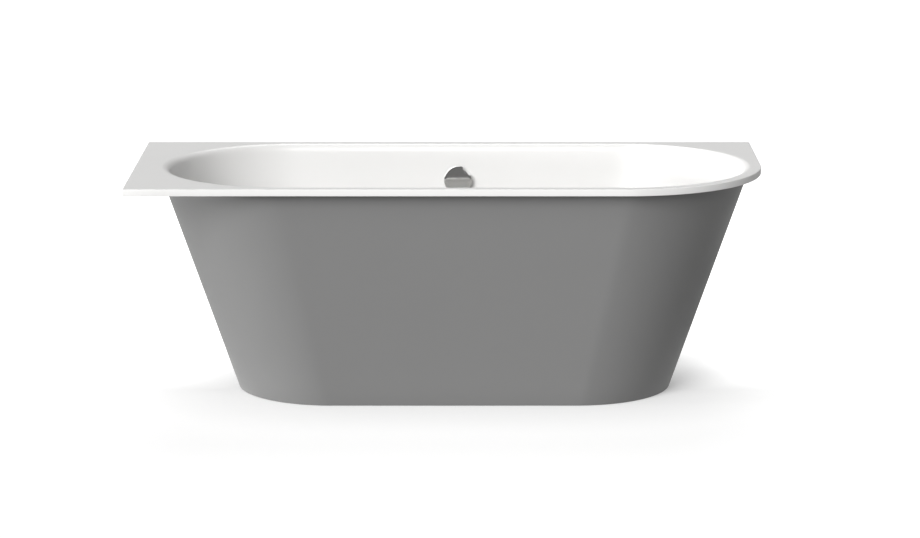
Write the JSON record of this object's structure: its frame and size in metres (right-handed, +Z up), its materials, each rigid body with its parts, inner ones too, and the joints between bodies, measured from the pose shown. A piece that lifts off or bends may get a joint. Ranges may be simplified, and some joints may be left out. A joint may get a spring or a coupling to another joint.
{
  "type": "built-in bathtub",
  "caption": "Corner bath with flat white rim, oval basin, tapered grey apron rounded at its free end, turning overflow cover, pop-up waste, trap and levelling cradle.",
  "frame": {"origin": "on the floor, under the middle of the rim's rectangle", "axes": "+X along the long wall towards the rounded free end, +Y towards the long wall, +Z up from the floor"},
  "size_m": [1.7, 0.75, 0.61],
  "materials": {
    "shell_white": "glossy sanitary white",
    "apron_grey": "satin mid grey",
    "board_wood": "raw chipboard",
    "zinc_steel": "galvanised sheet",
    "zinc_screws": "zinc plated",
    "pad_plastic": "matte black",
    "chrome": "polished",
    "cover_chrome": "polished",
    "seal_rubber": "matte",
    "pipe_plastic": "moulded white",
    "outlet_grey": "extruded grey",
    "brass": "turned",
    "hose_plastic": "moulded white",
    "cable_sheath": "black sheath"
  },
  "bodies": {
    "bath": {"tub_shell": "shell_white", "apron": "apron_grey", "base_board": "board_wood", "rail_left": "zinc_steel", "rail_right": "zinc_steel", "rail_screws": "zinc_screws", "bracket_left": "zinc_steel", "bracket_right": "zinc_steel", "bracket_screws": "zinc_screws", "foot_nuts": "zinc_screws", "wall_hook_left": "zinc_steel", "wall_hook_right": "zinc_steel", "wall_hook_side": "zinc_steel", "waste_ring": "chrome", "waste_seal": "seal_rubber", "waste_body": "pipe_plastic", "crank_pin": "zinc_screws", "trap_cup": "pipe_plastic", "trap_nut": "pipe_plastic", "trap_seal": "seal_rubber", "outlet_pipe": "outlet_grey", "outlet_nut": "pipe_plastic", "overflow_ring": "chrome", "overflow_seal": "seal_rubber", "overflow_body": "pipe_plastic", "overflow_hose": "hose_plastic", "hose_nuts": "pipe_plastic", "control_cable": "cable_sheath"},
    "foot_front_left": {"foot_stud_front_left": "zinc_screws", "foot_pad_front_left": "pad_plastic"},
    "foot_front_right": {"foot_stud_front_right": "zinc_screws", "foot_pad_front_right": "pad_plastic"},
    "foot_back_left": {"foot_stud_back_left": "zinc_screws", "foot_pad_back_left": "pad_plastic"},
    "foot_back_right": {"foot_stud_back_right": "zinc_screws", "foot_pad_back_right": "pad_plastic"},
    "turning_cover": {"overflow_knob": "cover_chrome", "knob_spindle": "brass", "cable_drum": "brass"},
    "plug": {"plug_cap": "chrome", "plug_seal": "seal_rubber", "plug_stem": "brass"},
    "crank": {"lift_crank": "brass"}
  },
  "joints": [
    {"name": "level_front_left", "type": "slide", "parent": "bath", "child": "foot_front_left", "axis": [0, 0, -1], "range_m": [-0.005, 0.025]},
    {"name": "level_front_right", "type": "slide", "parent": "bath", "child": "foot_front_right", "axis": [0, 0, -1], "range_m": [-0.005, 0.025]},
    {"name": "level_back_left", "type": "slide", "parent": "bath", "child": "foot_back_left", "axis": [0, 0, -1], "range_m": [-0.005, 0.025]},
    {"name": "level_back_right", "type": "slide", "parent": "bath", "child": "foot_back_right", "axis": [0, 0, -1], "range_m": [-0.005, 0.025]},
    {"name": "cover_turn", "type": "hinge", "parent": "bath", "child": "turning_cover", "pos_m": [0.026, 0.30965, 0.512], "axis": [0, -0.9848, 0.1736], "range_deg": [0, 90]},
    {"name": "plug_lift", "type": "slide", "parent": "bath", "child": "plug", "axis": [0, 0, 1], "range_m": [0, 0.01]},
    {"name": "crank_swing", "type": "hinge", "parent": "bath", "child": "crank", "pos_m": [0.026, -0.01933, 0.133], "axis": [1, 0, 0], "range_deg": [0, 29]}
  ],
  "couplings": [
    {"joint": "plug_lift", "follows": "cover_turn", "m_per_rad": 0.006366},
    {"joint": "crank_swing", "follows": "cover_turn", "ratio": 0.32222}
  ]
}
